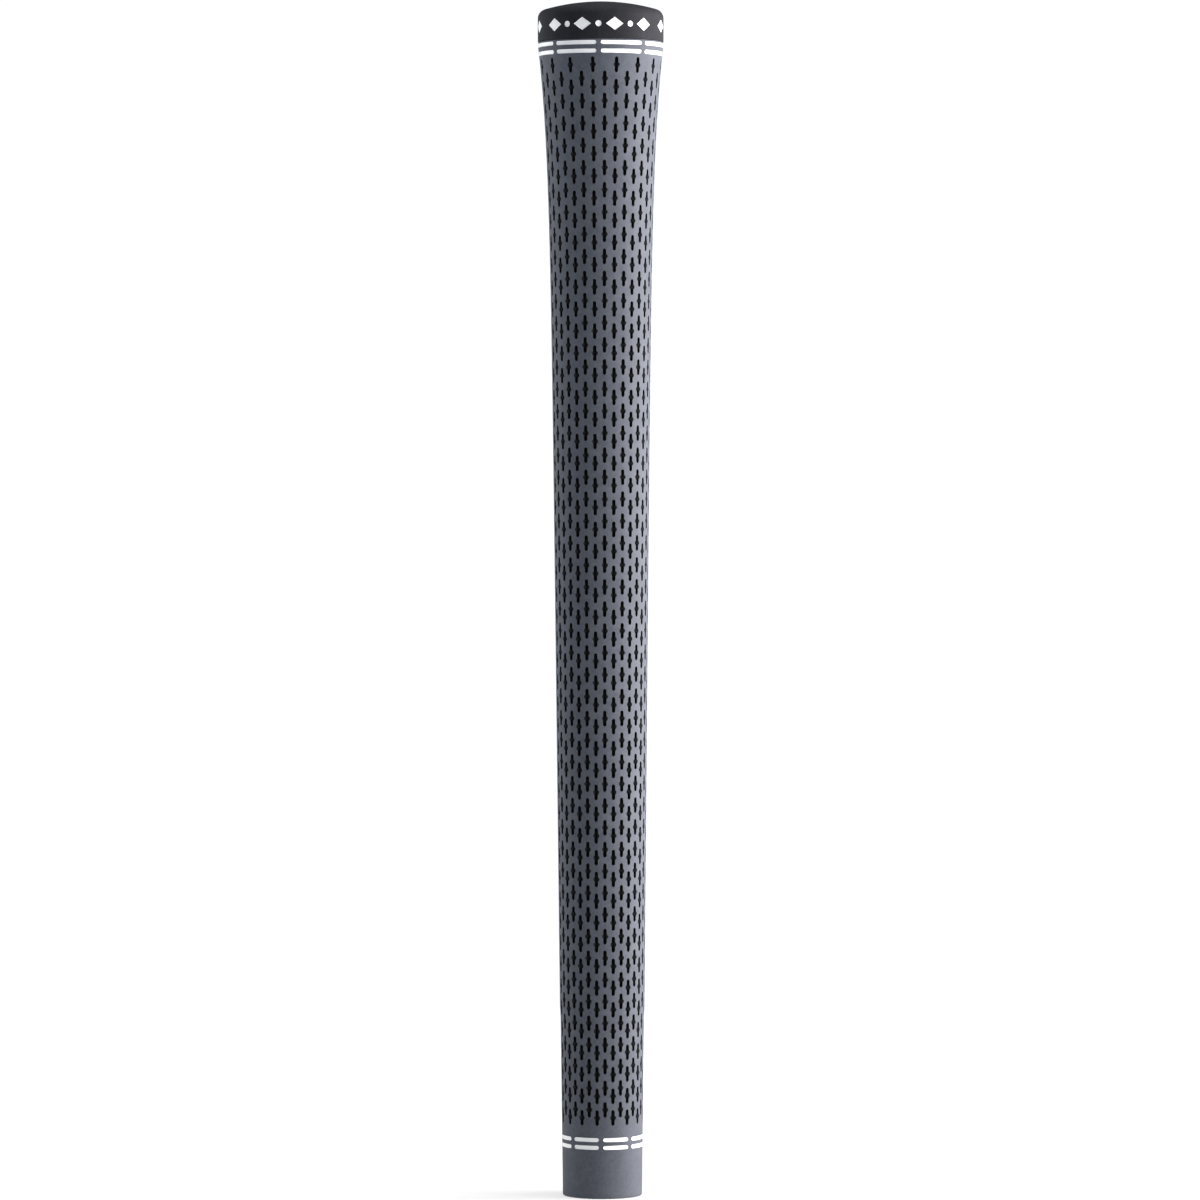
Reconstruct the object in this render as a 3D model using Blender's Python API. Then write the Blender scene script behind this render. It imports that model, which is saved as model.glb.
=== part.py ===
"""Slip-on golf grip: a tapered rubber sleeve, a moulded end cap and recesses filled with paint.

Metres, +Z up the bore from the open mouth to the cap. The origin is the centre of the
mouth's flat end. Angles are measured about the bore from the front, which faces -Y.
"""

import math

import bmesh
import bpy

MM = 0.001

# Overall sizes
GRIP_LENGTH = 270.0 * MM  # mouth face to the crown of the cap
MOUTH_RADIUS = 9.0 * MM  # outside, at the mouth
BAND_RADIUS = 14.12 * MM  # outside, at the sleeve's butt end

# Outline of the sleeve: a straight taper, one soft step below the lower hand, a flare to the butt
FLARE_GAIN = 2.34 * MM  # what the flare adds to the taper's radius at the butt band
FLARE_REACH = 21.7 * MM  # height in which the flare shrinks by a factor of e
HAND_STEP = 0.14 * MM
HAND_STEP_HEIGHT = 41.5 * MM
HAND_STEP_SPREAD = 1.2 * MM
BAND_HEIGHT = 1.4 * MM  # the straight stretch that meets the cap
MOUTH_ROUNDING = 0.4 * MM

# Bore, for a steel or graphite shaft with a 0.600 inch butt
BORE_BUTT_RADIUS = 7.62 * MM
BORE_MOUTH_RADIUS = 6.3 * MM
LEAD_IN = 0.6 * MM  # chamfer inside the mouth

# End cap
CAP_HEIGHT = 9.15 * MM  # crown to the seam with the sleeve
CAP_STEP = 0.08 * MM  # how far the cap's side stands out from the band
CAP_THICKNESS = 5.5 * MM  # crown to the face that the shaft's end meets
CAP_DOME_RADIUS = 46.0 * MM
CAP_EDGE_ROUNDING = 2.0 * MM
SKIRT_WALL = 2.6 * MM  # the skirt that keys the cap into the sleeve
SKIRT_LENGTH = 8.0 * MM
STOP_CHAMFER = 0.6 * MM
VENT_RADIUS = 1.25 * MM
VENT_CHAMFER = 0.3 * MM
SEAM_GAP = 0.3 * MM  # between the cap and the sleeve

# Recesses and the paint in them
RECESS_DEPTH = 0.4 * MM
PAINT_GAP = 0.1 * MM
CUTTER_RISE = 0.8 * MM  # how far a cutter stands above the surface that it cuts

# Dashes: two rings at the butt end and two near the mouth
DASHES_PER_RING = 8
DASH_WIDTH = 0.95 * MM
DASH_GAP = 0.95 * MM  # between the ends of two dashes in a ring
UPPER_DASH_LIP = 0.125 * MM  # rubber left between the sleeve's top and the topmost recesses
UPPER_DASH_SPACING = 1.9 * MM
LOWER_DASH_HEIGHT = 13.35 * MM
LOWER_DASH_SPACING = 1.75 * MM

# Frieze of lozenges and dots round the cap
FRIEZE_REPEATS = 3
FRIEZE_STEPS = 8  # places in one repeat, of which the last stays empty
FRIEZE_LOW_MARGIN = 1.7 * MM  # below the lozenges, on the cap's straight side
FRIEZE_HIGH_MARGIN = 0.6 * MM  # above them
DOT_RADIUS = 0.7 * MM
MARK_GAP = 0.95 * MM  # between a lozenge's point and the dot beside it

# How finely round stretches are cut
SEGMENTS = 48
ROUNDING_STEPS = 3
DASH_SPANS = 6
SHARP_ANGLE = math.radians(35)  # faces that meet at more than this keep a crisp edge

# Places that the sizes above settle
CAP_RADIUS = BAND_RADIUS + CAP_STEP
TAPER_RADIUS = BAND_RADIUS - FLARE_GAIN
SEAM_HEIGHT = GRIP_LENGTH - CAP_HEIGHT
SLEEVE_TOP = SEAM_HEIGHT - SEAM_GAP / 2
CAP_SEAT = SEAM_HEIGHT + SEAM_GAP / 2
BAND_BOTTOM = SEAM_HEIGHT - BAND_HEIGHT
STOP_HEIGHT = GRIP_LENGTH - CAP_THICKNESS
SKIRT_BOTTOM = CAP_SEAT - SKIRT_LENGTH
SKIRT_RADIUS = BORE_BUTT_RADIUS + SKIRT_WALL

# Centre of the cap edge's rounding, which touches both the side and the dome
EDGE_CENTRE_RADIUS = CAP_RADIUS - CAP_EDGE_ROUNDING
EDGE_TO_DOME_CENTRE = CAP_DOME_RADIUS - CAP_EDGE_ROUNDING
EDGE_CENTRE_HEIGHT = (
    GRIP_LENGTH - CAP_DOME_RADIUS + math.sqrt(EDGE_TO_DOME_CENTRE**2 - EDGE_CENTRE_RADIUS**2)
)


def sleeve_radius(height):
    """The sleeve's outside: taper, plus the soft step, plus a flare that ends at the band."""
    if height >= BAND_BOTTOM:
        return BAND_RADIUS
    step = HAND_STEP * (1 + math.tanh((height - HAND_STEP_HEIGHT) / HAND_STEP_SPREAD)) / 2
    taper = (TAPER_RADIUS - HAND_STEP - MOUTH_RADIUS) * height / BAND_BOTTOM
    flare = (BAND_RADIUS - TAPER_RADIUS) * math.exp((height - BAND_BOTTOM) / FLARE_REACH)
    return MOUTH_RADIUS + taper + step + flare


def bore_radius(height):
    """The bore's wall, which narrows evenly from the stop face to the mouth."""
    return BORE_MOUTH_RADIUS + (BORE_BUTT_RADIUS - BORE_MOUTH_RADIUS) * height / STOP_HEIGHT


def cap_radius(_height):
    return CAP_RADIUS


def evenly(start, end, spans):
    """Values from start to end, the end left out."""
    return [start + (end - start) * index / spans for index in range(spans)]


def arc(centre, radius, start, end, steps):
    """Points (radius, height) on an arc, with angles in degrees from the +radius direction."""
    points = []
    for index in range(steps + 1):
        angle = math.radians(start + (end - start) * index / steps)
        points.append((centre[0] + radius * math.cos(angle), centre[1] + radius * math.sin(angle)))
    return points


def sleeve_outline():
    step_bottom = HAND_STEP_HEIGHT - 2 * HAND_STEP_SPREAD
    step_top = HAND_STEP_HEIGHT + 2 * HAND_STEP_SPREAD
    flare_bottom = BAND_BOTTOM - 3 * FLARE_REACH
    heights = evenly(MOUTH_ROUNDING, step_bottom, 3)
    heights += evenly(step_bottom, step_top, 4)
    heights += evenly(step_top, flare_bottom, 6)
    heights += evenly(flare_bottom, BAND_BOTTOM, 10)
    heights += [BAND_BOTTOM, SLEEVE_TOP]
    mouth_corner = (sleeve_radius(MOUTH_ROUNDING) - MOUTH_ROUNDING, MOUTH_ROUNDING)
    outside = arc(mouth_corner, MOUTH_ROUNDING, -90, 0, ROUNDING_STEPS)[:-1]
    outside += [(sleeve_radius(height), height) for height in heights]
    rebate_radius = SKIRT_RADIUS + SEAM_GAP
    rebate_floor = SKIRT_BOTTOM - SEAM_GAP
    inside = [
        (rebate_radius, SLEEVE_TOP),
        (rebate_radius, rebate_floor),
        (bore_radius(rebate_floor), rebate_floor),
        (bore_radius(LEAD_IN), LEAD_IN),
        (bore_radius(LEAD_IN) + LEAD_IN, 0),
    ]
    return outside + inside


def dome_height(radius):
    """The dome's surface, as a height above the mouth."""
    return GRIP_LENGTH - CAP_DOME_RADIUS + math.sqrt(CAP_DOME_RADIUS**2 - radius**2)


def cap_outline():
    edge_centre = (EDGE_CENTRE_RADIUS, EDGE_CENTRE_HEIGHT)
    edge_end = math.degrees(math.acos(EDGE_CENTRE_RADIUS / EDGE_TO_DOME_CENTRE))
    rounding = arc(edge_centre, CAP_EDGE_ROUNDING, 0, edge_end, ROUNDING_STEPS)
    vent_lip = VENT_RADIUS + VENT_CHAMFER
    dome_radii = evenly(rounding[-1][0], vent_lip, 5)[1:] + [vent_lip]
    dome = [(radius, dome_height(radius)) for radius in dome_radii]
    inside = [
        (VENT_RADIUS, dome_height(VENT_RADIUS) - VENT_CHAMFER),
        (VENT_RADIUS, STOP_HEIGHT),
        (BORE_BUTT_RADIUS - STOP_CHAMFER, STOP_HEIGHT),
        (bore_radius(STOP_HEIGHT - STOP_CHAMFER), STOP_HEIGHT - STOP_CHAMFER),
        (bore_radius(SKIRT_BOTTOM), SKIRT_BOTTOM),
        (SKIRT_RADIUS, SKIRT_BOTTOM),
        (SKIRT_RADIUS, CAP_SEAT),
    ]
    return [(CAP_RADIUS, CAP_SEAT)] + rounding + dome + inside


def finish_mesh(name, bm):
    """A mesh from bm, with its faces pointing out and its corners kept sharp."""
    bmesh.ops.recalc_face_normals(bm, faces=bm.faces)
    mesh = bpy.data.meshes.new(name)
    bm.to_mesh(mesh)
    bm.free()
    mesh.shade_smooth()
    mesh.set_sharp_from_angle(angle=SHARP_ANGLE)
    return mesh


def turned_mesh(name, outline):
    """A closed outline of (radius, height) points spun once round the Z axis."""
    bm = bmesh.new()
    corners = [bm.verts.new((radius, 0, height)) for radius, height in outline]
    edges = [bm.edges.new((corners[index - 1], corners[index])) for index in range(len(corners))]
    bmesh.ops.spin(
        bm,
        geom=corners + edges,
        cent=(0, 0, 0),
        axis=(0, 0, 1),
        angle=math.tau,
        steps=SEGMENTS,
        use_merge=True,
    )
    return finish_mesh(name, bm)


def stadium(half_length, half_width, spans):
    """(place along, half width) pairs of a bar with round ends; spans of 0 gives a disc."""
    straight = half_length - half_width
    round_end = []
    for index in range(ROUNDING_STEPS):
        angle = math.pi / 2 * index / ROUNDING_STEPS
        round_end.append((straight + half_width * math.cos(angle), half_width * math.sin(angle)))
    left = [(-along, width) for along, width in round_end]
    middle = [(along, half_width) for along in evenly(-straight, straight, spans)]
    if spans == 0:
        return left + [(0, half_width)] + round_end[::-1]
    return left + middle + [(straight, half_width)] + round_end[::-1]


def lozenge(half_length, half_width):
    """(place along, half width) pairs, with one more column halfway along each side."""
    shares = (-1, -0.5, 0, 0.5, 1)
    return [(share * half_length, (1 - abs(share)) * half_width) for share in shares]


def wrapped_mesh(name, columns, height, surface, low, high):
    """A plate bent round the bore's axis at the front, between two offsets from a surface.

    columns are (place along, half width) pairs from one pointed end to the other, low and high
    the offsets of its underside and its top, and surface the radius at a height.
    """
    bm = bmesh.new()
    rings = []
    for along, half_width in columns:
        angle = along / surface(height)
        heights = [height - half_width, height + half_width] if half_width else [height]
        ring = []
        for offset, order in ((high, heights), (low, heights[::-1])):
            for level in order:
                radius = surface(level) + offset
                ring.append(bm.verts.new((radius * math.sin(angle), -radius * math.cos(angle), level)))
        rings.append(ring)
    for near, far in zip(rings, rings[1:]):
        bridge(bm, near, far)
    return finish_mesh(name, bm)


def bridge(bm, near, far):
    """The faces between two neighbouring columns, either of which may be a pointed end."""
    if len(near) == 2:
        bm.faces.new((near[0], far[0], far[1]))
        bm.faces.new((near[0], near[1], far[3], far[0]))
        bm.faces.new((near[1], far[2], far[3]))
        bm.faces.new((near[0], far[1], far[2], near[1]))
    elif len(far) == 2:
        bridge(bm, far, near)
    else:
        for index in range(4):
            bm.faces.new((near[index - 1], near[index], far[index], far[index - 1]))


def material(name, colour, roughness):
    made = bpy.data.materials.new(name)
    made.use_nodes = True
    shader = made.node_tree.nodes["Principled BSDF"]
    shader.inputs["Base Color"].default_value = (*colour, 1)
    shader.inputs["Roughness"].default_value = roughness
    shader.inputs["Metallic"].default_value = 0
    return made


def add_part(name, mesh, finish, root, angle=0):
    """An object for a mesh, turned about the bore's axis."""
    part = bpy.data.objects.new(name, mesh)
    bpy.context.scene.collection.objects.link(part)
    if not mesh.materials:
        mesh.materials.append(finish)
    part.parent = root
    part.rotation_euler.z = angle
    return part


def add_cutter(name, mesh, cutters, root, angle):
    cutter = bpy.data.objects.new(name, mesh)
    cutters.objects.link(cutter)
    cutter.parent = root
    cutter.rotation_euler.z = angle
    cutter.hide_render = True
    cutter.display_type = "WIRE"


def cutter_group(name):
    group = bpy.data.collections.new(name)
    bpy.context.scene.collection.children.link(group)
    return group


def cut(part, cutters):
    recesses = part.modifiers.new("recesses", "BOOLEAN")
    recesses.operation = "DIFFERENCE"
    recesses.solver = "EXACT"
    recesses.operand_type = "COLLECTION"
    recesses.collection = cutters


def add_painted_marks(name, outline, height, surface, angles, paint, cutters, root):
    """One paint fill and one recess cutter at each angle. outline(grow) gives the columns."""
    fill = wrapped_mesh(name, outline(0), height, surface, PAINT_GAP - RECESS_DEPTH, 0)
    recess = wrapped_mesh(
        name + "_recess", outline(PAINT_GAP), height, surface, -RECESS_DEPTH, CUTTER_RISE
    )
    for index, angle in enumerate(angles, start=1):
        add_part(f"{name}_{index}", fill, paint, root, angle)
        add_cutter(f"{name}_{index}_recess", recess, cutters, root, angle)


def add_dash_ring(name, height, paint, cutters, root):
    pitch = math.tau / DASHES_PER_RING
    half_length = (pitch * sleeve_radius(height) - DASH_GAP) / 2

    def outline(grow):
        return stadium(half_length + grow, DASH_WIDTH / 2 + grow, DASH_SPANS)

    # A gap between two dashes is at the front.
    angles = [pitch * (index + 0.5) for index in range(DASHES_PER_RING)]
    add_painted_marks(name, outline, height, sleeve_radius, angles, paint, cutters, root)


def add_frieze(paint, cutters, root):
    repeat = math.tau / FRIEZE_REPEATS
    step = repeat / FRIEZE_STEPS
    lowest = CAP_SEAT + FRIEZE_LOW_MARGIN
    highest = EDGE_CENTRE_HEIGHT - FRIEZE_HIGH_MARGIN
    height = (lowest + highest) / 2
    half_width = (highest - lowest) / 2
    half_length = step * CAP_RADIUS - DOT_RADIUS - MARK_GAP

    def lozenge_outline(grow):
        centre_to_side = half_length * half_width / math.hypot(half_length, half_width)
        share = 1 + grow / centre_to_side
        return lozenge(half_length * share, half_width * share)

    def dot_outline(grow):
        return stadium(DOT_RADIUS + grow, DOT_RADIUS + grow, 0)

    used = FRIEZE_STEPS - 1
    lozenge_angles = []
    dot_angles = []
    for index in range(FRIEZE_REPEATS):
        for place in range(used):
            angle = index * repeat + (place - (used - 1) / 2) * step
            if place % 2:
                dot_angles.append(angle)
            else:
                lozenge_angles.append(angle)
    marks = (("cap_lozenge", lozenge_outline, lozenge_angles), ("cap_dot", dot_outline, dot_angles))
    for name, outline, angles in marks:
        add_painted_marks(name, outline, height, cap_radius, angles, paint, cutters, root)


def clear_scene():
    for item in list(bpy.data.objects):
        bpy.data.objects.remove(item)


def main():
    clear_scene()
    grey_rubber = material("grey_rubber", (0.13, 0.14, 0.16), 0.72)
    black_rubber = material("black_rubber", (0.02, 0.02, 0.023), 0.6)
    white_paint = material("white_paint", (0.86, 0.86, 0.85), 0.45)

    root = bpy.data.objects.new("golf_grip", None)
    bpy.context.scene.collection.objects.link(root)

    sleeve = add_part("grip_body", turned_mesh("grip_body", sleeve_outline()), grey_rubber, root)
    cap = add_part("end_cap", turned_mesh("end_cap", cap_outline()), black_rubber, root)

    sleeve_cutters = cutter_group("sleeve_recess_cutters")
    upper_ring = SLEEVE_TOP - UPPER_DASH_LIP - PAINT_GAP - DASH_WIDTH / 2
    rings = (
        ("upper_dash_a", upper_ring),
        ("upper_dash_b", upper_ring - UPPER_DASH_SPACING),
        ("lower_dash_a", LOWER_DASH_HEIGHT),
        ("lower_dash_b", LOWER_DASH_HEIGHT - LOWER_DASH_SPACING),
    )
    for name, height in rings:
        add_dash_ring(name, height, white_paint, sleeve_cutters, root)
    cut(sleeve, sleeve_cutters)

    cap_cutters = cutter_group("cap_recess_cutters")
    add_frieze(white_paint, cap_cutters, root)
    cut(cap, cap_cutters)


main()
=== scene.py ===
"""Looks of the golf grip: a slotted rubber sleeve, a black end cap and dished paint fills.

The sleeve's skin is one lattice of cells round the bore. Each cell holds one slot of the
traction pattern or one painted dash, and the cap's frieze is made of cells in the same way.
Angles are measured about the bore from the front, which faces -Y.
"""

import math

import bmesh
import bpy
from mathutils import Matrix, Vector


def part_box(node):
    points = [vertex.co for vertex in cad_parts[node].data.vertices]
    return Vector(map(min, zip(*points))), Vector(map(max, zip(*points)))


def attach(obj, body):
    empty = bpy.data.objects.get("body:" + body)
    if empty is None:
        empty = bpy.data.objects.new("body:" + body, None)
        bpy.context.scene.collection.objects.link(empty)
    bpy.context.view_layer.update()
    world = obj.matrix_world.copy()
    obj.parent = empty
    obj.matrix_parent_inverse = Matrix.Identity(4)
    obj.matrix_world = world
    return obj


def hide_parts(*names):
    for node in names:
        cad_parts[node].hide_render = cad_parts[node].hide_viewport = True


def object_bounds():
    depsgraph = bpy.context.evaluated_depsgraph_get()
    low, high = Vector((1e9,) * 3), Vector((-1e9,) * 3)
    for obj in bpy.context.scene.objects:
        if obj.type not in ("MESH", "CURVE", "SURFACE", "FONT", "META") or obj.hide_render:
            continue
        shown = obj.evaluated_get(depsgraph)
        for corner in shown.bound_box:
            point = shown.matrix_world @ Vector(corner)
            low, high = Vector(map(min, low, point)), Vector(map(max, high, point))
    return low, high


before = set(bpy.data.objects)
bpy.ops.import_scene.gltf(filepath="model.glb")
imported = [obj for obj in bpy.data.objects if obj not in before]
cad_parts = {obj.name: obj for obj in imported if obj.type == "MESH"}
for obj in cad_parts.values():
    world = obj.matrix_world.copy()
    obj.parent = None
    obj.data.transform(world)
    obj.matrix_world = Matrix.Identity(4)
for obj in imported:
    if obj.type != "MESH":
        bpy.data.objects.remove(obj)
cad_low, cad_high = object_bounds()

MM = 0.001

# Outline of the sleeve: a straight taper, one soft step below the lower hand, a flare to the butt
MOUTH_RADIUS = 9.0 * MM
FLARE_GAIN = 2.34 * MM
FLARE_REACH = 21.7 * MM
HAND_STEP = 0.14 * MM
HAND_STEP_HEIGHT = 41.5 * MM
HAND_STEP_SPREAD = 1.2 * MM
BAND_HEIGHT = 1.4 * MM
MOUTH_ROUNDING = 0.4 * MM
SEAM_ROUNDING = 0.12 * MM

# Bore and cap
BORE_BUTT_RADIUS = 7.62 * MM
BORE_MOUTH_RADIUS = 6.3 * MM
LEAD_IN = 0.6 * MM
CAP_THICKNESS = 5.5 * MM
CAP_STEP = 0.08 * MM
CAP_DOME_RADIUS = 46.0 * MM
CAP_EDGE_ROUNDING = 2.0 * MM
SKIRT_WALL = 2.6 * MM
STOP_CHAMFER = 0.6 * MM
VENT_RADIUS = 1.25 * MM
VENT_CHAMFER = 0.3 * MM
SEAM_GAP = 0.3 * MM  # between the two CAD solids
SEAM_LINE = 0.05 * MM  # the hairline that shows between cap and sleeve
SKIRT_CLEARANCE = 0.05 * MM

# Traction pattern
SLOT_COLUMNS = 32
LATTICE_STEPS = 8  # height lines in one row of slots
SLOT_ROWS = 49
TOP_LINE = SLOT_ROWS * LATTICE_STEPS  # the lattice's topmost height line
SHIFTED_START = 3  # height lines by which every second column starts higher
LATTICE_BOTTOM = 15.907 * MM
ROW_PITCH_BOTTOM = 4.885 * MM
ROW_PITCH_TOP = 4.978 * MM
TOP_TRIM = 0.25 * MM  # how far the topmost line is lowered, to make room for the dashes
SLOT_LENGTH = 3.55 * MM
SLOT_WIDTH = 0.78 * MM
BULGE_WIDTH = 1.46 * MM
BULGE_LENGTH = 1.2 * MM
BULGE_TIP = 0.26 * MM
SLOT_LIP = 0.03 * MM  # the chamfer round a slot, as wide as it is deep
SLOT_DEPTH = 0.9 * MM
BULGE_DEPTH = 0.5 * MM  # depth halfway along a slot, where its floor is raised
SLOT_FLOOR_WIDTH = 0.6 * MM

# Dashes and frieze
DASH_RINGS = ("upper_dash_a", "upper_dash_b", "lower_dash_a", "lower_dash_b")
DASHES_PER_RING = 8
FRIEZE_CELLS = 24
FRIEZE_REPEAT = 8  # cells in one repeat, of which the last holds no mark
RECESS_DEPTH = 0.3 * MM
RECESS_LIP = 0.08 * MM  # the narrow border of skin round a recess, where the lightened edge shows: part wear, part painted highlight
FILL_DROP = 0.02 * MM  # how far the paint's rim lies below the rubber
FILL_DISH = 0.11 * MM  # how far its middle lies below the rubber
FILL_RIM = 0.14 * MM  # how wide the slope between the two is
FILL_CLEARANCE = 0.03 * MM  # between the paint and its recess

# Fineness of the meshes: how many lines run up the sleeve and the cap, all round, how many of the
# cap's lines a mark's cell spans, and into how many parts roundings and turned walls are divided
COLUMN_LINES = 2 * SLOT_COLUMNS
CAP_LINES = 192
LOZENGE_LINES, DOT_LINES = 12, 4  # a lozenge's cell and its neighbour's share two cells' pitch
SIDE_POINTS = 3  # border points up each side of a recess's cell, between its corners
MOUTH_STEPS, MOUTH_RINGS = 4, 8
SEAM_STEPS = 3
BORE_RINGS = 12
CAP_EDGE_STEPS = 8
DOME_RINGS = 12
VENT_STEPS = 4
SHARP_ANGLE = math.radians(30)
BLACK, FACET = 1, 2  # the sleeve's materials in a slot; 0 is its skin. The slot's near-black is a black fill darkened further as painted shade, and the bulge facets' dark grey is grey rubber darkened as painted shade

# Heights and radii that follow from the frame
TOP = cad_high.z
SEAM_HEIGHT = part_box("grip_body")[1].z + SEAM_GAP / 2
SLEEVE_TOP = SEAM_HEIGHT - SEAM_LINE / 2
CAP_SEAT = SEAM_HEIGHT + SEAM_LINE / 2
BAND_BOTTOM = SEAM_HEIGHT - BAND_HEIGHT
CAP_RADIUS = cad_high.x
BAND_RADIUS = CAP_RADIUS - CAP_STEP
TAPER_RADIUS = BAND_RADIUS - FLARE_GAIN
STOP_HEIGHT = TOP - CAP_THICKNESS
SKIRT_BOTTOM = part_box("end_cap")[0].z
SKIRT_RADIUS = BORE_BUTT_RADIUS + SKIRT_WALL
EDGE_CENTRE_RADIUS = CAP_RADIUS - CAP_EDGE_ROUNDING
EDGE_TO_DOME_CENTRE = CAP_DOME_RADIUS - CAP_EDGE_ROUNDING
EDGE_RISE = math.sqrt(EDGE_TO_DOME_CENTRE**2 - EDGE_CENTRE_RADIUS**2)
EDGE_CENTRE_HEIGHT = TOP - CAP_DOME_RADIUS + EDGE_RISE


# Surfaces of revolution


def sleeve_radius(height):
    """The outline of the sleeve: straight at the band, and below it taper, step and flare."""
    if height >= BAND_BOTTOM:
        return BAND_RADIUS
    step = HAND_STEP * (1 + math.tanh((height - HAND_STEP_HEIGHT) / HAND_STEP_SPREAD)) / 2
    taper = (TAPER_RADIUS - HAND_STEP - MOUTH_RADIUS) * height / BAND_BOTTOM
    flare = FLARE_GAIN * math.exp((height - BAND_BOTTOM) / FLARE_REACH)
    return MOUTH_RADIUS + taper + step + flare


def bore_radius(height):
    return BORE_MOUTH_RADIUS + (BORE_BUTT_RADIUS - BORE_MOUTH_RADIUS) * height / STOP_HEIGHT


def cap_radius(_height):
    return CAP_RADIUS


def dome_height(radius):
    return TOP - CAP_DOME_RADIUS + math.sqrt(CAP_DOME_RADIUS**2 - radius**2)


def place(angle, radius, height):
    """The point at an angle about the bore from the front."""
    return Vector((radius * math.sin(angle), -radius * math.cos(angle), height))


def evenly(start, end, spans):
    """Values from start to end, both included."""
    return [start + (end - start) * index / spans for index in range(spans + 1)]


def arc(centre, radius, start, end, steps):
    """Points (radius, height) on an arc, with angles in degrees from the +radius direction."""
    turns = (math.radians(angle) for angle in evenly(start, end, steps))
    return [(centre[0] + radius * math.cos(t), centre[1] + radius * math.sin(t)) for t in turns]


# Building blocks of a skin


class Skin:
    """A mesh in the making whose lattice points are shared between neighbouring cells."""

    def __init__(self, surface, lines):
        self.bm = bmesh.new()
        self.surface = surface
        self.lines = lines
        self.shared = {}

    def angle(self, line):
        return math.tau * line / self.lines

    def corner(self, line, height):
        key = (line % self.lines, height)
        if key not in self.shared:
            angle = self.angle(line % self.lines)
            self.shared[key] = self.bm.verts.new(place(angle, self.surface(height), height))
        return self.shared[key]

    def ring(self, height):
        return [self.corner(line, height) for line in range(self.lines)]

    def turned(self, radius, height):
        """A ring of points off the surface, such as one inside the bore."""
        angles = (self.angle(line) for line in range(self.lines))
        return [self.bm.verts.new(place(angle, radius, height)) for angle in angles]

    def loop(self, angle, height, outline, depth):
        """An outline of (along, up) pairs laid on the surface round a place, then sunk by depth."""
        girth = self.surface(height)
        corners = []
        for along, up in outline:
            radius = self.surface(height + up) - depth
            corners.append(self.bm.verts.new(place(angle + along / girth, radius, height + up)))
        return corners

    def face(self, corners, finish=0):
        made = self.bm.faces.new(corners)
        made.material_index = finish
        made.smooth = True

    def band(self, lower, upper, finish=0):
        """Faces between two closed rings of as many points."""
        for index in range(len(lower)):
            self.face((lower[index - 1], lower[index], upper[index], upper[index - 1]), finish)

    def collar(self, border, inner, partners=None, finishes=None):
        """Faces from a border in to a loop.

        partners says which inner point each border point meets, and finishes gives each face's
        material, by the border point that the face ends at.
        """
        partners = partners or list(range(len(border)))
        finishes = finishes or [0] * len(border)
        for index in range(len(border)):
            near, far = inner[partners[index - 1]], inner[partners[index]]
            corners = [border[index - 1], border[index], far]
            if near is not far:
                corners.append(near)
            self.face(corners, finishes[index])

    def zipped(self, loop, finish=0):
        """Faces across a loop that is alike on both sides of the line between its two ends."""
        last = len(loop)
        for index in range(last // 2):
            corners = [loop[index], loop[index + 1], loop[last - index - 1]]
            if index:
                corners.append(loop[last - index])
            if corners[1] is corners[2]:
                corners.pop(2)
            self.face(corners, finish)

    def finished(self, name, materials):
        bmesh.ops.recalc_face_normals(self.bm, faces=self.bm.faces)
        mesh = bpy.data.meshes.new(name)
        self.bm.to_mesh(mesh)
        self.bm.free()
        mesh.set_sharp_from_angle(angle=SHARP_ANGLE)
        for finish in materials:
            mesh.materials.append(finish)
        piece = bpy.data.objects.new(name, mesh)
        bpy.context.scene.collection.objects.link(piece)
        return piece


# Outlines of recesses, as (along, up) pairs that start at one end and run anticlockwise


def mirrored(tip, right):
    """A closed outline from its lower tip up the points of its right side, and down the left."""
    left = [(-along, up) for along, up in reversed(right)]
    return [(0, -tip)] + right + [(0, tip)] + left


def slot_outline(margin):
    """Eighteen points: a bar with round ends and a blunt diamond halfway, grown by margin."""
    half, straight = SLOT_WIDTH / 2 + margin, (SLOT_LENGTH - SLOT_WIDTH) / 2
    slant, bulge, tip = half * math.sqrt(0.5), BULGE_LENGTH / 2 + margin, BULGE_TIP / 2
    lower = [
        (slant, -straight - slant),
        (half, -straight),
        (half, -bulge),
        (BULGE_WIDTH / 2 + margin, -tip),
    ]
    return mirrored(straight + half, lower + [(along, -up) for along, up in reversed(lower)])


def slot_floor_outline():
    """Ten points: a narrower bar with blunt ends."""
    half, straight = SLOT_FLOOR_WIDTH / 2, (SLOT_LENGTH - SLOT_WIDTH) / 2
    lower = [(half, -straight), (half, -BULGE_LENGTH / 4)]
    return mirrored(straight + half, lower + [(along, -up) for along, up in reversed(lower)])


def stadium_outline(half_length, half_width):
    """Twenty-four points from the left end: seven along each side, the rest round the ends."""
    straight = half_length - half_width
    below = [(along, -half_width) for along in evenly(-straight, straight, 6)]
    turns = [math.radians(angle) for angle in (-60, -30, 0, 30, 60)]
    right = [(straight + half_width * math.cos(t), half_width * math.sin(t)) for t in turns]
    left = [(-along, -up) for along, up in right]
    above = [(-along, half_width) for along, _ in below]
    return left[2:] + below + right + above + left[:2]


def border_points(lines):
    """How many points the border of a recess's cell has, when it spans some lattice lines."""
    return 2 * (lines + 1 + SIDE_POINTS)


def lozenge_outline(half_length, half_width):
    """As many points as its cell's border has, from the left tip."""
    spans = border_points(LOZENGE_LINES) // 4
    tips = [(-half_length, 0), (0, -half_width), (half_length, 0), (0, half_width)]
    points = []
    for index, tip in enumerate(tips):
        following = tips[(index + 1) % 4]
        for share in evenly(0, 1, spans)[:-1]:
            points.append([a + (b - a) * share for a, b in zip(tip, following)])
    return points


def disc_outline(radius):
    """As many points as its cell's border has, from the left."""
    count = border_points(DOT_LINES)
    turns = [math.pi + math.tau * index / count for index in range(count)]
    return [(radius * math.cos(t), radius * math.sin(t)) for t in turns]


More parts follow.
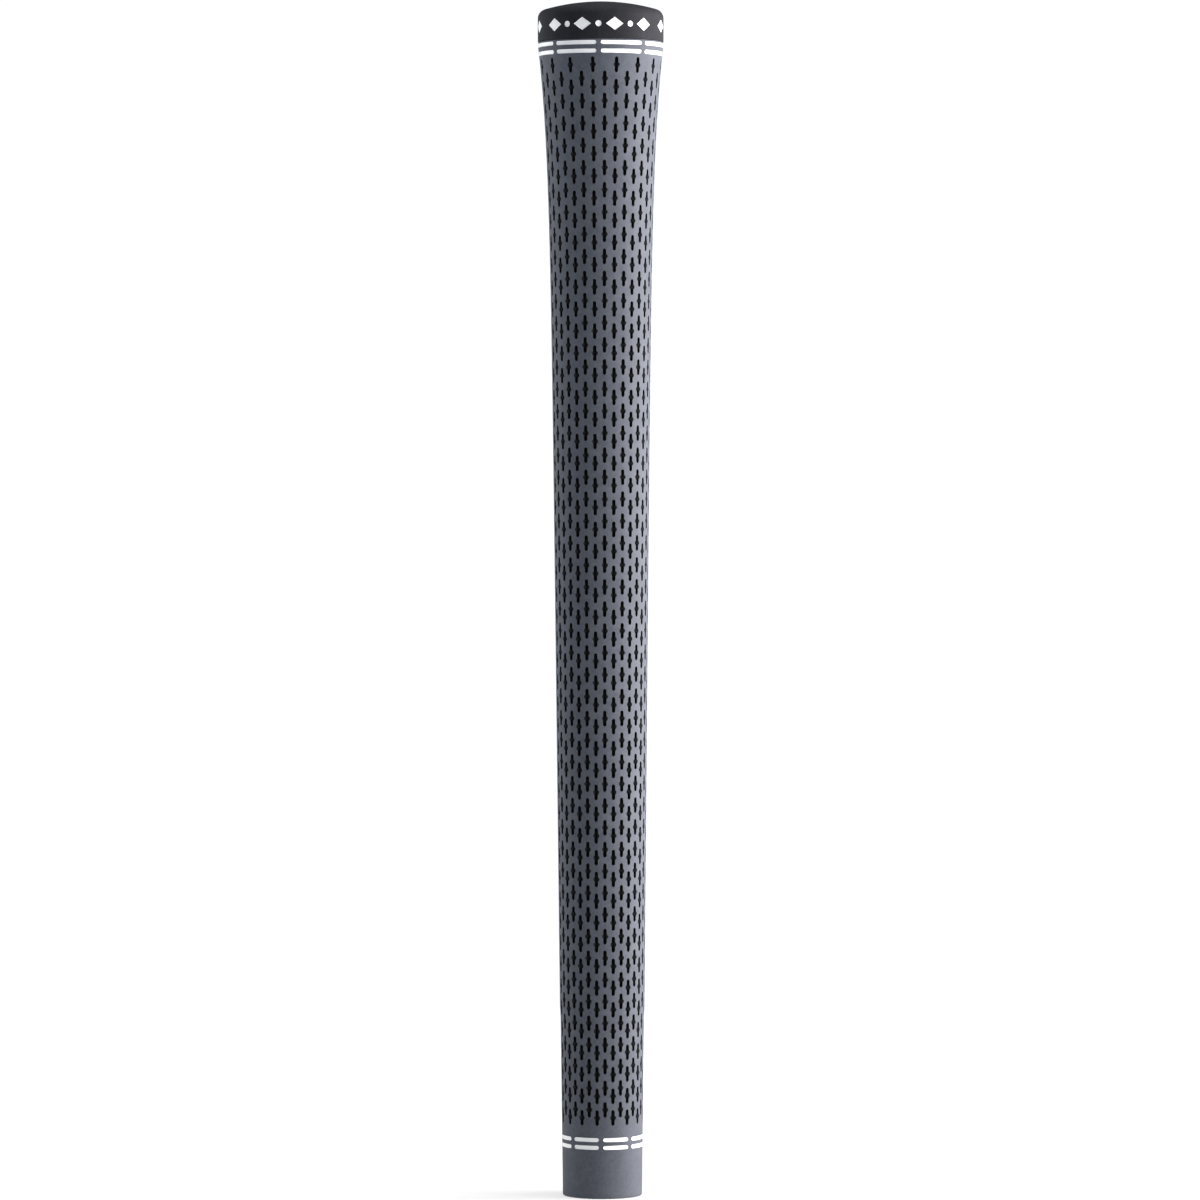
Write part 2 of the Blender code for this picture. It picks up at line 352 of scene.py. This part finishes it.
def shrunk(outline, inset):
    """An outline moved in by inset, by moving each point along the mean normal of its two sides."""
    points = [Vector(point) for point in outline]
    moved = []
    for index, point in enumerate(points):
        before = (point - points[index - 1]).normalized()
        after = (points[(index + 1) % len(points)] - point).normalized()
        inwards = Vector((-before.y - after.y, before.x + after.x)).normalized()
        spread = max(inwards.dot(Vector((-before.y, before.x))), 0.5)
        moved.append(point + inwards * inset / spread)
    return moved


# The sleeve


def lattice_height(line):
    """Height of a line of the slot lattice: rows grow slightly taller towards the butt."""
    row = line / LATTICE_STEPS
    growth = (ROW_PITCH_TOP - ROW_PITCH_BOTTOM) / (2 * SLOT_ROWS)
    height = LATTICE_BOTTOM + ROW_PITCH_BOTTOM * row + growth * row**2
    return height - TOP_TRIM if line == TOP_LINE else height


# Which of a slot's eighteen points each of its cell's twenty border points meets, and which of
# its floor's ten points each of those eighteen meets
SLOT_PARTNERS = [0, 1, 2, 3, 4, 4, 5, 6, 7, 8, 9, 10, 11, 12, 13, 13, 14, 15, 16, 17]
FLOOR_PARTNERS = [0, 1, 1, 2, 2, 3, 3, 4, 4, 5, 6, 6, 7, 7, 8, 8, 9, 9]
BULGE_POINTS = (4, 5, 6, 13, 14, 15)
MIDDLE_FLOOR = (2, 3, 7, 8)  # the floor's points halfway along the slot


def add_slot(skin, column, bottom):
    """One cell of the lattice, from the height line bottom up, with its slot sunk into it."""
    left, middle, right = 2 * column, 2 * column + 1, 2 * column + 2
    heights = [lattice_height(bottom + step) for step in range(LATTICE_STEPS + 1)]
    border = [skin.corner(middle, heights[0])]
    border += [skin.corner(right, height) for height in heights]
    border += [skin.corner(middle, heights[-1])]
    border += [skin.corner(left, height) for height in reversed(heights)]
    angle, centre = skin.angle(middle), lattice_height(bottom + LATTICE_STEPS / 2)
    lip = skin.loop(angle, centre, slot_outline(SLOT_LIP), 0)
    mouth = skin.loop(angle, centre, slot_outline(0), SLOT_LIP)
    floor = skin.loop(angle, centre, slot_floor_outline(), SLOT_DEPTH)
    for index in MIDDLE_FLOOR:
        outwards = Vector((floor[index].co.x, floor[index].co.y, 0)).normalized()
        floor[index].co += outwards * (SLOT_DEPTH - BULGE_DEPTH)
    skin.collar(border, lip, SLOT_PARTNERS)
    skin.collar(lip, mouth)
    # The bulge's facets get grey rubber darkened as painted shade, and the rest of the slot gets a
    # black fill darkened further as painted shade
    finishes = [FACET if index in BULGE_POINTS else BLACK for index in range(len(mouth))]
    skin.collar(mouth, floor, FLOOR_PARTNERS, finishes)
    skin.zipped(floor, BLACK)


def add_plain(skin, column, bottom, top):
    """Plain skin between two height lines of a column that has no slot there."""
    for line in range(bottom, top):
        low, high = lattice_height(line), lattice_height(line + 1)
        for left in (2 * column, 2 * column + 1):
            corners = (
                skin.corner(left, low),
                skin.corner(left + 1, low),
                skin.corner(left + 1, high),
                skin.corner(left, high),
            )
            skin.face(corners)


def add_slots(skin):
    """Every column of slots, with plain skin below and above it where it is shorter."""
    for column in range(SLOT_COLUMNS):
        start = 0 if column % 2 else SHIFTED_START
        rows = (TOP_LINE - start) // LATTICE_STEPS
        end = start + rows * LATTICE_STEPS
        add_plain(skin, column, 0, start)
        for row in range(rows):
            add_slot(skin, column, start + row * LATTICE_STEPS)
        add_plain(skin, column, end, TOP_LINE)


def half_angle(node):
    """Half the angle about the bore that a node of the frame spans."""
    angles = [math.atan2(v.co.x, -v.co.y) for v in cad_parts[node].data.vertices]
    return (max(angles) - min(angles)) / 2


def dash_facts(ring):
    """(centre height, half length round the bore, half width) of a ring's dashes."""
    node = ring + "_1"
    low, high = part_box(node)
    height = (low.z + high.z) / 2
    return height, half_angle(node) * sleeve_radius(height), (high.z - low.z) / 2


def cell_border(skin, first, last, low, high):
    """The border of a cell that spans several lattice lines, from the middle of its left side."""
    heights = evenly(low, high, SIDE_POINTS + 1)[1:-1]
    middle = SIDE_POINTS // 2
    left = [skin.corner(first, height) for height in heights]
    right = [skin.corner(last, height) for height in heights]
    below = [skin.corner(line, low) for line in range(first, last + 1)]
    above = [skin.corner(line, high) for line in range(last, first - 1, -1)]
    return left[middle::-1] + below + right + above + left[:middle:-1]


def add_recess(skin, border, angle, height, outline):
    """A cell with a flat-floored recess for paint sunk into it."""
    lip = skin.loop(angle, height, shrunk(outline, -RECESS_LIP), 0)
    mouth = skin.loop(angle, height, outline, 0)
    floor = skin.loop(angle, height, outline, RECESS_DEPTH)
    skin.collar(border, lip)
    skin.collar(lip, mouth)
    skin.collar(mouth, floor)
    skin.zipped(floor)


def add_dashes(skin, ring, low, high):
    """A ring of dash recesses between two heights."""
    height, half_length, half_width = dash_facts(ring)
    span = COLUMN_LINES // DASHES_PER_RING
    outline = stadium_outline(half_length, half_width)
    for index in range(DASHES_PER_RING):
        first = index * span
        border = cell_border(skin, first, first + span, low, high)
        angle = skin.angle(first + span / 2)
        add_recess(skin, border, angle, height, outline)


def sleeve_bands():
    """(ring, low, high) of the cells of the four dash rings, in order of height."""
    upper_a, upper_b, lower_a, lower_b = (dash_facts(ring)[0] for ring in DASH_RINGS)
    lattice_top = lattice_height(TOP_LINE)
    between_upper, between_lower = (upper_a + upper_b) / 2, (lower_a + lower_b) / 2
    reach = between_lower - lower_b
    return (
        ("lower_dash_b", lower_b - reach, between_lower),
        ("lower_dash_a", between_lower, lower_a + reach),
        ("upper_dash_b", lattice_top, between_upper),
        ("upper_dash_a", between_upper, SLEEVE_TOP - SEAM_ROUNDING),
    )


def make_sleeve(materials):
    """The grey sleeve: slots and dash recesses outside, the cap's seat and the bore inside."""
    skin = Skin(sleeve_radius, COLUMN_LINES)
    bands = sleeve_bands()
    for ring, low, high in bands:
        add_dashes(skin, ring, low, high)
    add_slots(skin)

    # Plain skin from the mouth up to the dashes, then up to the slots
    mouth_corner = (sleeve_radius(MOUTH_ROUNDING) - MOUTH_ROUNDING, MOUTH_ROUNDING)
    rounding = arc(mouth_corner, MOUTH_ROUNDING, -90, 0, MOUTH_STEPS)[:-1]
    rings = [skin.turned(radius, height) for radius, height in rounding]
    rings += [skin.ring(height) for height in evenly(MOUTH_ROUNDING, bands[0][1], MOUTH_RINGS)]
    for lower, upper in zip(rings, rings[1:]):
        skin.band(lower, upper)
    skin.band(skin.ring(bands[1][2]), skin.ring(lattice_height(0)))

    # Over the top edge, down the seat of the cap's skirt, down the bore and out at the mouth
    edge_centre = (BAND_RADIUS - SEAM_ROUNDING, SLEEVE_TOP - SEAM_ROUNDING)
    seat_radius = SKIRT_RADIUS + SKIRT_CLEARANCE
    seat_floor = SKIRT_BOTTOM - SKIRT_CLEARANCE
    inside = arc(edge_centre, SEAM_ROUNDING, 0, 90, SEAM_STEPS)[1:]
    inside += [(seat_radius, SLEEVE_TOP), (seat_radius, seat_floor)]
    bore_heights = evenly(seat_floor, LEAD_IN, BORE_RINGS)
    inside += [(bore_radius(height), height) for height in bore_heights]
    inside += [(bore_radius(LEAD_IN) + LEAD_IN, 0)]
    lower = skin.ring(bands[3][2])
    for radius, height in inside:
        upper = skin.turned(radius, height)
        skin.band(lower, upper)
        lower = upper
    skin.band(lower, rings[0])
    return skin.finished("rubber_sleeve", materials)


# The end cap


def frieze_outlines():
    """The cap marks' outlines by kind, with their height, sized from the frame's own marks."""
    low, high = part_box("cap_lozenge_1")
    half_length = half_angle("cap_lozenge_1") * CAP_RADIUS
    dot_low, dot_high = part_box("cap_dot_1")
    outlines = {
        "lozenge": lozenge_outline(half_length, (high.z - low.z) / 2),
        "dot": disc_outline((dot_high.z - dot_low.z) / 2),
    }
    return outlines, (low.z + high.z) / 2


def frieze_marks():
    """(kind, angle) of each mark, in the order of the frame's nodes: three repeats of seven."""
    step = math.tau / FRIEZE_CELLS
    used = FRIEZE_REPEAT - 1
    marks = []
    for cell in range(FRIEZE_CELLS):
        repeat, spot = divmod(cell, FRIEZE_REPEAT)
        if spot < used:
            kind = "dot" if spot % 2 else "lozenge"
            marks.append((kind, (repeat * FRIEZE_REPEAT + spot - (used - 1) / 2) * step))
    return marks


def add_frieze(skin, low, high):
    """The cap's side as cells in one ring, with a recess in each cell that holds a mark."""
    outlines, height = frieze_outlines()
    marks = {round(angle / math.tau * FRIEZE_CELLS): kind for kind, angle in frieze_marks()}
    pitch = CAP_LINES // FRIEZE_CELLS
    for cell in range(FRIEZE_CELLS):
        kind = marks.get(cell, marks.get(cell - FRIEZE_CELLS))
        middle = cell * pitch
        reach = (LOZENGE_LINES if kind == "lozenge" else DOT_LINES) // 2
        border = cell_border(skin, middle - reach, middle + reach, low, high)
        if kind:
            add_recess(skin, border, skin.angle(middle), height, outlines[kind])
        else:
            patch = skin.loop(skin.angle(middle), height, outlines["dot"], 0)
            skin.collar(border, patch)
            skin.zipped(patch)


def make_cap(materials):
    """The black end cap: frieze recesses, dome and vent outside, shaft stop and skirt inside."""
    skin = Skin(cap_radius, CAP_LINES)
    frieze_low, frieze_high = CAP_SEAT + SEAM_ROUNDING, EDGE_CENTRE_HEIGHT
    add_frieze(skin, frieze_low, frieze_high)

    # Round the edge, over the dome, down the vent, out under the skirt and up to the seam
    edge_end = math.degrees(math.acos(EDGE_CENTRE_RADIUS / EDGE_TO_DOME_CENTRE))
    edge_centre = (EDGE_CENTRE_RADIUS, EDGE_CENTRE_HEIGHT)
    rounding = arc(edge_centre, CAP_EDGE_ROUNDING, 0, edge_end, CAP_EDGE_STEPS)[1:]
    vent_lip = VENT_RADIUS + VENT_CHAMFER
    dome_radii = evenly(rounding[-1][0], vent_lip, DOME_RINGS)[1:]
    dome = [(radius, dome_height(radius)) for radius in dome_radii]
    vent_centre = (vent_lip, dome_height(vent_lip) - VENT_CHAMFER)
    vent_throat = arc(vent_centre, VENT_CHAMFER, 90, 180, VENT_STEPS)[1:]
    seat_corner = (CAP_RADIUS - SEAM_ROUNDING, CAP_SEAT + SEAM_ROUNDING)
    inside = [
        (VENT_RADIUS, STOP_HEIGHT),
        (BORE_BUTT_RADIUS - STOP_CHAMFER, STOP_HEIGHT),
        (bore_radius(STOP_HEIGHT - STOP_CHAMFER), STOP_HEIGHT - STOP_CHAMFER),
        (bore_radius(SKIRT_BOTTOM), SKIRT_BOTTOM),
        (SKIRT_RADIUS, SKIRT_BOTTOM),
        (SKIRT_RADIUS, CAP_SEAT),
    ]
    inside += arc(seat_corner, SEAM_ROUNDING, -90, 0, SEAM_STEPS)[:-1]
    lower = skin.ring(frieze_high)
    for radius, level in rounding + dome + vent_throat + inside:
        upper = skin.turned(radius, level)
        skin.band(lower, upper)
        lower = upper
    skin.band(lower, skin.ring(frieze_low))
    return skin.finished("end_cap_moulding", materials)


# Paint fills


def make_fill(name, surface, angle, height, outline, paint):
    """A closed plate of paint that fills a recess: rim just under the rubber, middle dished."""
    skin = Skin(surface, COLUMN_LINES)
    rim = shrunk(outline, FILL_CLEARANCE)
    under = skin.loop(angle, height, rim, RECESS_DEPTH - FILL_CLEARANCE)
    edge = skin.loop(angle, height, rim, FILL_DROP)
    slope = skin.loop(angle, height, shrunk(outline, FILL_RIM / 2), (FILL_DROP + FILL_DISH) / 2)
    dish = skin.loop(angle, height, shrunk(outline, FILL_RIM), FILL_DISH)
    skin.zipped(under)
    skin.collar(under, edge)
    skin.collar(edge, slope)
    skin.collar(slope, dish)
    skin.zipped(dish)
    return skin.finished(name, [paint])


def make_fills(paint):
    """Every paint fill with the CAD node that it stands for."""
    fills = []
    for ring in DASH_RINGS:
        height, half_length, half_width = dash_facts(ring)
        outline = stadium_outline(half_length, half_width)
        for index in range(DASHES_PER_RING):
            node = f"{ring}_{index + 1}"
            angle = math.tau * (index + 0.5) / DASHES_PER_RING
            name = f"{node}_paint"
            fills.append((make_fill(name, sleeve_radius, angle, height, outline, paint), node))
    outlines, height = frieze_outlines()
    counts = {"lozenge": 0, "dot": 0}
    for kind, angle in frieze_marks():
        counts[kind] += 1
        node = f"cap_{kind}_{counts[kind]}"
        name = f"{node}_paint"
        fills.append((make_fill(name, cap_radius, angle, height, outlines[kind], paint), node))
    return fills


# Materials. Colours are linear, and each pair is the darker and the lighter of a mottled surface.

GREY_RUBBER = ((0.059, 0.066, 0.083), (0.081, 0.089, 0.108))
# Edge colour of the grey rubber: partly rubbed wear, partly a painted highlight on raised edges
GREY_RUBBED_AND_LIT = (0.11, 0.12, 0.14)
BLACK_RUBBER = ((0.0125, 0.013, 0.0165), (0.019, 0.0195, 0.0235))
# Edge colour of the black rubber: partly rubbed wear, partly a painted highlight on raised edges
BLACK_RUBBED_AND_LIT = (0.05, 0.052, 0.058)
# Near-black of the slots' walls and floors: a black fill, made darker still as painted shade deep in
# the slots
SLOT_BLACK_AND_SHADE = ((0.0055, 0.005, 0.0055), (0.008, 0.0075, 0.008))
# Dark grey of the bulges' facets: the grey rubber darkened as painted shade
SLOT_FACET_SHADE = ((0.014, 0.016, 0.019), (0.019, 0.021, 0.025))
WHITE_PAINT = ((0.75, 0.76, 0.76), (0.8, 0.81, 0.82))
FLOOR_GREY = ((0.35, 0.35, 0.35), (0.37, 0.37, 0.37))

MOTTLE_SIZE = 3.0 * MM
PORE_SIZE = 0.7 * MM
PORE_DEPTH = 0.05 * MM
GRAIN_SIZE = 0.22 * MM
GRAIN_DEPTH = 0.03 * MM
ROUGHNESS_SPREAD = 0.06  # how far the pores vary rubber's roughness either way
PAINT_PATCH_SIZE = 1.6 * MM
PAINT_SKIN_SIZE = 0.35 * MM
PAINT_SKIN_DEPTH = 0.02 * MM
PAINT_ROUGHNESS = (0.32, 0.46)
FLOOR_CLOUD_SIZE = 60 * MM
EDGE_RUB_AND_HIGHLIGHT = 0.35  # the most that a raised edge is lightened, by wear and by a painted highlight
LIGHTENING_START, LIGHTENING_FULL = 0.52, 0.62  # pointiness of edges that just show the lightening and that show it all


def new_material(name, roughness, specular):
    """A material with its Principled shader; the even values sit on the shader's own sockets."""
    made = bpy.data.materials.new(name)
    made.use_nodes = True
    shader = made.node_tree.nodes["Principled BSDF"]
    shader.inputs["Roughness"].default_value = roughness
    shader.inputs["Specular IOR Level"].default_value = specular
    return made, made.node_tree, shader


def add_noise(tree, coordinates, size, detail, roughness=0.55):
    """Noise whose lumps are about size metres across."""
    noise = tree.nodes.new("ShaderNodeTexNoise")
    noise.inputs["Scale"].default_value = 1 / size
    noise.inputs["Detail"].default_value = detail
    noise.inputs["Roughness"].default_value = roughness
    tree.links.new(coordinates, noise.inputs["Vector"])
    return noise.outputs["Fac"]


def add_ramp(tree, factor, stops):
    """A colour that follows factor between two (position, colour) stops."""
    ramp = tree.nodes.new("ShaderNodeValToRGB")
    for element, (position, colour) in zip(ramp.color_ramp.elements, stops):
        element.position = position
        element.color = (*colour, 1)
    tree.links.new(factor, ramp.inputs["Fac"])
    return ramp.outputs["Color"]


def add_bump(tree, height, distance, strength, normal=None):
    bump = tree.nodes.new("ShaderNodeBump")
    bump.inputs["Distance"].default_value = distance
    bump.inputs["Strength"].default_value = strength
    tree.links.new(height, bump.inputs["Height"])
    if normal:
        tree.links.new(normal, bump.inputs["Normal"])
    return bump.outputs["Normal"]


def add_range(tree, factor, low, high, start=0.3, end=0.7):
    """factor spread from low to high between two of its values, which suit noise by default."""
    spread = tree.nodes.new("ShaderNodeMapRange")
    spread.inputs["From Min"].default_value = start
    spread.inputs["From Max"].default_value = end
    spread.inputs["To Min"].default_value = low
    spread.inputs["To Max"].default_value = high
    tree.links.new(factor, spread.inputs["Value"])
    return spread.outputs["Result"]


def add_blend(tree, first, second, share):
    """first and second mixed, with share of the second."""
    blend = tree.nodes.new("ShaderNodeMix")
    blend.inputs["Factor"].default_value = share
    tree.links.new(first, blend.inputs["A"])
    tree.links.new(second, blend.inputs["B"])
    return blend.outputs["Result"]


def add_edge_wear_and_highlight(tree, colour, rubbed_and_lit, patches):
    """colour, lightened along raised edges towards the given edge colour as wear and a painted
    highlight, more in some patches than in others.
    """
    pointiness = tree.nodes.new("ShaderNodeNewGeometry").outputs["Pointiness"]
    edges = add_range(tree, pointiness, 0, EDGE_RUB_AND_HIGHLIGHT, LIGHTENING_START, LIGHTENING_FULL)
    broken = tree.nodes.new("ShaderNodeMath")
    broken.operation = "MULTIPLY"
    tree.links.new(edges, broken.inputs[0])
    tree.links.new(add_range(tree, patches, 0.4, 1), broken.inputs[1])
    blend = tree.nodes.new("ShaderNodeMixRGB")
    blend.inputs["Color2"].default_value = (*rubbed_and_lit, 1)
    tree.links.new(broken.outputs["Value"], blend.inputs["Fac"])
    tree.links.new(colour, blend.inputs["Color1"])
    return blend.outputs["Color"]


def rubber(name, colours, roughness, grain, specular, rubbed_and_lit=None):
    """Moulded rubber: mottled compound, pores, the mould's fine grain and, if an edge colour is
    given, raised edges lightened as wear and a painted highlight.
    """
    made, tree, shader = new_material(name, roughness, specular)
    coordinates = tree.nodes.new("ShaderNodeTexCoord").outputs["Object"]
    mottle = add_noise(tree, coordinates, MOTTLE_SIZE, 4)
    fine = add_noise(tree, coordinates, GRAIN_SIZE, 3, 0.6)
    pores = add_noise(tree, coordinates, PORE_SIZE, 2)
    speckle = add_blend(tree, mottle, pores, 0.5)
    colour = add_ramp(tree, speckle, zip((0.36, 0.64), colours))
    # Raised edges lightened: partly rubbed wear, partly a painted highlight
    if rubbed_and_lit:
        colour = add_edge_wear_and_highlight(tree, colour, rubbed_and_lit, mottle)
    tree.links.new(colour, shader.inputs["Base Color"])
    smooth, coarse = roughness - ROUGHNESS_SPREAD, roughness + ROUGHNESS_SPREAD
    tree.links.new(add_range(tree, pores, smooth, coarse), shader.inputs["Roughness"])
    normal = add_bump(tree, pores, PORE_DEPTH, grain * 0.5)
    normal = add_bump(tree, fine, GRAIN_DEPTH, grain, normal)
    tree.links.new(normal, shader.inputs["Normal"])
    return made


def white_fill():
    """Thick white paint: almost even, a little duller in patches, with a slightly wavy skin."""
    made, tree, shader = new_material("white_paint_fill", 0.38, 0.5)
    coordinates = tree.nodes.new("ShaderNodeTexCoord").outputs["Object"]
    patches = add_noise(tree, coordinates, PAINT_PATCH_SIZE, 3)
    skin = add_noise(tree, coordinates, PAINT_SKIN_SIZE, 2)
    colour = add_ramp(tree, patches, zip((0.3, 0.7), WHITE_PAINT))
    tree.links.new(colour, shader.inputs["Base Color"])
    tree.links.new(add_range(tree, patches, *PAINT_ROUGHNESS), shader.inputs["Roughness"])
    tree.links.new(add_bump(tree, skin, PAINT_SKIN_DEPTH, 0.4), shader.inputs["Normal"])
    return made


# Stage, light and camera

FLOOR_RADIUS = 0.35
FLOOR_DROP = 0.02 * MM  # how far the floor lies below the mouth
FLOOR_GLOW = 0.55  # the floor glows, so that shadows on it stay pale
SKY_STOPS = ((0.14, (0.92, 0.95, 1)), (0.3, (0.11, 0.115, 0.125)))  # by the direction's height
SKY_STRENGTH = 1.1
CAMERA_DISTANCE = 1.4
CAMERA_HEIGHT = 166.7 * MM
CAMERA_AZIMUTH = math.radians(1.9)
CAMERA_TARGET = Vector((-0.35 * MM, 0, 134.88 * MM))
CAMERA_ROLL = math.radians(-0.09)
VIEW_WIDTH = 271.5 * MM  # what the picture spans at the grip
SENSOR_WIDTH = 36.0


def make_floor():
    bm = bmesh.new()
    bmesh.ops.create_circle(bm, cap_ends=True, segments=128, radius=FLOOR_RADIUS)
    mesh = bpy.data.meshes.new("studio_floor")
    bm.to_mesh(mesh)
    bm.free()
    floor = bpy.data.objects.new("studio_floor", mesh)
    floor.location.z = -FLOOR_DROP
    bpy.context.scene.collection.objects.link(floor)
    made, tree, shader = new_material("studio_floor", 0.9, 0.1)
    coordinates = tree.nodes.new("ShaderNodeTexCoord").outputs["Object"]
    cloud = add_noise(tree, coordinates, FLOOR_CLOUD_SIZE, 3)
    colour = add_ramp(tree, cloud, zip((0.3, 0.7), FLOOR_GREY))
    tree.links.new(colour, shader.inputs["Base Color"])
    shader.inputs["Emission Color"].default_value = (1, 1, 1, 1)
    shader.inputs["Emission Strength"].default_value = FLOOR_GLOW
    mesh.materials.append(made)


def make_world():
    """White below and round the horizon and dim overhead, so that upright sides keep contrast."""
    world = bpy.data.worlds.new("studio")
    world.use_nodes = True
    tree = world.node_tree
    bearing = tree.nodes.new("ShaderNodeTexCoord").outputs["Generated"]
    split = tree.nodes.new("ShaderNodeSeparateXYZ")
    tree.links.new(bearing, split.inputs["Vector"])
    colour = add_ramp(tree, split.outputs["Z"], SKY_STOPS)
    background = tree.nodes["Background"]
    background.inputs["Strength"].default_value = SKY_STRENGTH
    tree.links.new(colour, background.inputs["Color"])
    bpy.context.scene.world = world


def add_softbox(name, location, target, width, height, power, colour=(1, 1, 1)):
    """A rectangular light that faces target."""
    light = bpy.data.lights.new(name, "AREA")
    light.shape = "RECTANGLE"
    light.size = width
    light.size_y = height
    light.energy = power
    light.color = colour
    lamp = bpy.data.objects.new(name, light)
    lamp.location = location
    lamp.rotation_euler = (Vector(target) - Vector(location)).to_track_quat("-Z", "Y").to_euler()
    bpy.context.scene.collection.objects.link(lamp)


def make_lights():
    """A wide warm light on the right, a weak one behind on the left and one overhead."""
    middle = (0, 0, TOP / 2)
    add_softbox(
        "right_softbox",
        location=(1.0, 0.05, 0.22),
        target=middle,
        width=1.1,
        height=0.8,
        power=52.0,
        colour=(1, 0.955, 0.92),
    )
    add_softbox(
        "left_softbox",
        location=(-0.95, 0.55, 0.25),
        target=middle,
        width=0.5,
        height=0.8,
        power=6.0,
    )
    add_softbox(
        "top_softbox",
        location=(0, 0, 1.4),
        target=(0, 0, 0),
        width=0.8,
        height=0.8,
        power=15.0,
    )


def make_camera():
    lens = bpy.data.cameras.new("camera")
    camera = bpy.data.objects.new("camera", lens)
    bpy.context.scene.collection.objects.link(camera)
    side = Vector((math.sin(CAMERA_AZIMUTH), -math.cos(CAMERA_AZIMUTH), 0))
    camera.location = side * CAMERA_DISTANCE
    camera.location.z = CAMERA_HEIGHT
    aim = (CAMERA_TARGET - camera.location).to_track_quat("-Z", "Y").to_matrix()
    camera.rotation_euler = (aim @ Matrix.Rotation(CAMERA_ROLL, 3, "Z")).to_euler()
    lens.sensor_width = SENSOR_WIDTH
    lens.lens = SENSOR_WIDTH * CAMERA_DISTANCE / VIEW_WIDTH
    lens.clip_start = 0.01
    bpy.context.scene.camera = camera
    bpy.context.scene.view_settings.view_transform = "Standard"


def main():
    grey = rubber("grey_rubber", GREY_RUBBER, 0.7, grain=0.6, specular=0.15, rubbed_and_lit=GREY_RUBBED_AND_LIT)
    # Slot walls and floors: a black fill, made darker still as painted shade
    recess = rubber("slot_black_and_painted_shade", SLOT_BLACK_AND_SHADE, 0.9, grain=0.3, specular=0.03)
    # Bulge facets: grey rubber darkened as painted shade
    facet_shade = rubber("recess_grey_painted_shade", SLOT_FACET_SHADE, 0.75, grain=0.3, specular=0.05)
    black = rubber("black_rubber", BLACK_RUBBER, 0.75, grain=0.6, specular=0.08, rubbed_and_lit=BLACK_RUBBED_AND_LIT)
    paint = white_fill()

    pieces = [
        (make_sleeve([grey, recess, facet_shade]), "grip_body", "grey_rubber"),
        (make_cap([black]), "end_cap", "black_rubber"),
    ]
    pieces += [(piece, node, "white_paint") for piece, node in make_fills(paint)]
    for piece, node, slot in pieces:
        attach(piece, "root")
        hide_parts(node)

    make_floor()
    make_world()
    make_lights()
    make_camera()


main()
